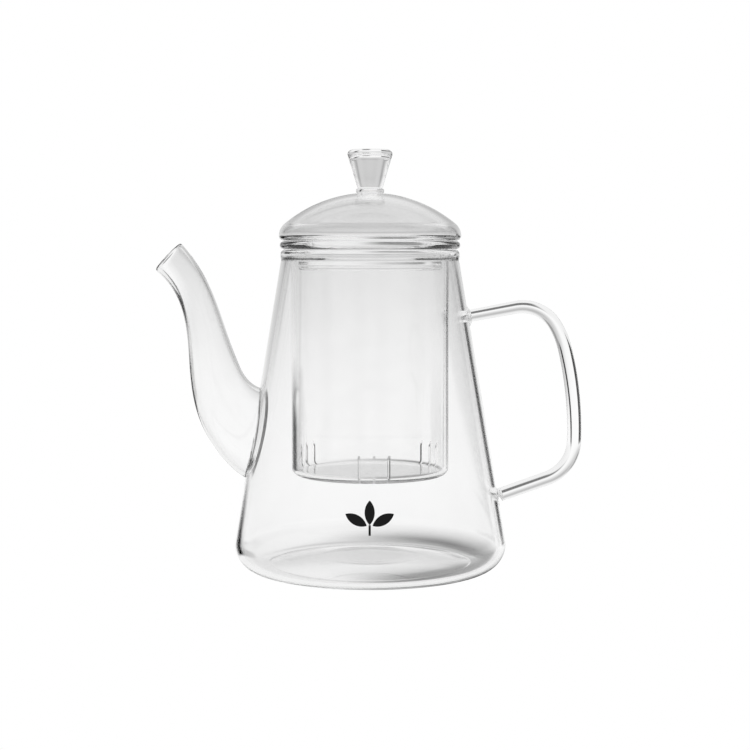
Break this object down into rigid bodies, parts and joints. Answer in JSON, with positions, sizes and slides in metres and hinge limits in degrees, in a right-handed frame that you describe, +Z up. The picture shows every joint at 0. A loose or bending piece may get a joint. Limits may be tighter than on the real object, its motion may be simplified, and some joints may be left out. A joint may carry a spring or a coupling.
{
  "type": "glass teapot",
  "caption": "Conical clear-glass teapot with a curved spout, a bent rod handle, a slotted glass infuser hung from the rim, and a domed lid with a flared knob.",
  "frame": {"origin": "centre of the ring that the pot stands on, on the axis of the pot, which is also the bottom centre of the whole object's box", "axes": "+Z up along the axis of pot, infuser and lid; +X towards the handle; -X towards the spout; the printed mark faces -Y"},
  "size_m": [0.1973, 0.1266, 0.1945],
  "materials": {
    "pot_glass": "clear blown borosilicate, fire-polished",
    "infuser_glass": "clear drawn borosilicate tube, fire-polished, slits left as sawn",
    "lid_glass": "clear blown borosilicate, fire-polished",
    "black_print": "fired black enamel print, smooth"
  },
  "bodies": {
    "pot": {"body_shell": "pot_glass", "spout": "pot_glass", "spout_weld": "pot_glass", "handle_rod": "pot_glass", "handle_upper_weld": "pot_glass", "handle_lower_weld": "pot_glass", "printed_mark": "black_print"},
    "infuser": {"infuser": "infuser_glass"},
    "lid": {"lid_dome": "lid_glass", "lid_collar": "lid_glass", "lid_knob_weld": "lid_glass", "lid_knob": "lid_glass"}
  },
  "joints": [
    {"name": "infuser_lift", "type": "slide", "parent": "pot", "child": "infuser", "axis": [0, 0, 1], "range_m": [0, 0.12]},
    {"name": "lid_lift", "type": "slide", "parent": "infuser", "child": "lid", "axis": [0, 0, 1], "range_m": [0, 0.04]}
  ]
}
